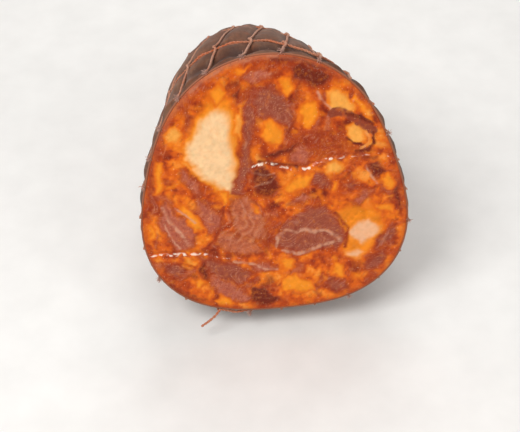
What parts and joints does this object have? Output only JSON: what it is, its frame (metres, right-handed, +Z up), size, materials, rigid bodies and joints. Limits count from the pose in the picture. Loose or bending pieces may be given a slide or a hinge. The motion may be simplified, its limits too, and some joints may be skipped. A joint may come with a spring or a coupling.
{
  "type": "cured sausage",
  "caption": "Half of a thick cured sausage, cut across, in its casing and string net, lying on its belly with the tied end behind.",
  "frame": {"origin": "middle of the footprint, on the surface it rests on", "axes": "+Z up; the cut face looks towards -Y and 19 degrees upwards; the tied end points towards +Y"},
  "size_m": [0.1086, 0.1658, 0.1148],
  "materials": {
    "meat": "moist, fatty cut surface of paprika-cured meat and fat",
    "casing": "dry, brown natural casing, satin",
    "cross_thread": "matte thread soaked with paprika fat",
    "net_string": "matte twisted cotton, stained pink",
    "twine": "matte twisted cotton twine"
  },
  "bodies": {
    "root": {"filling": "meat", "casing": "casing", "net_cross_thread": "cross_thread", "net_strand_01": "net_string", "net_strand_02": "net_string", "net_strand_03": "net_string", "net_strand_04": "net_string", "net_strand_05": "net_string", "net_strand_06": "net_string", "net_strand_07": "net_string", "net_strand_08": "net_string", "net_strand_09": "net_string", "net_strand_10": "net_string", "net_strand_11": "net_string", "net_strand_12": "net_string", "net_strand_13": "net_string", "net_strand_14": "net_string", "net_strand_15": "net_string", "net_strand_16": "net_string", "net_strand_17": "net_string", "net_strand_18": "net_string", "net_strand_19": "net_string", "net_strand_20": "net_string", "net_strand_21": "net_string", "net_strand_22": "net_string", "net_strand_23": "net_string", "net_strand_24": "net_string", "net_strand_25": "net_string", "end_tie": "twine"}
  },
  "joints": []
}
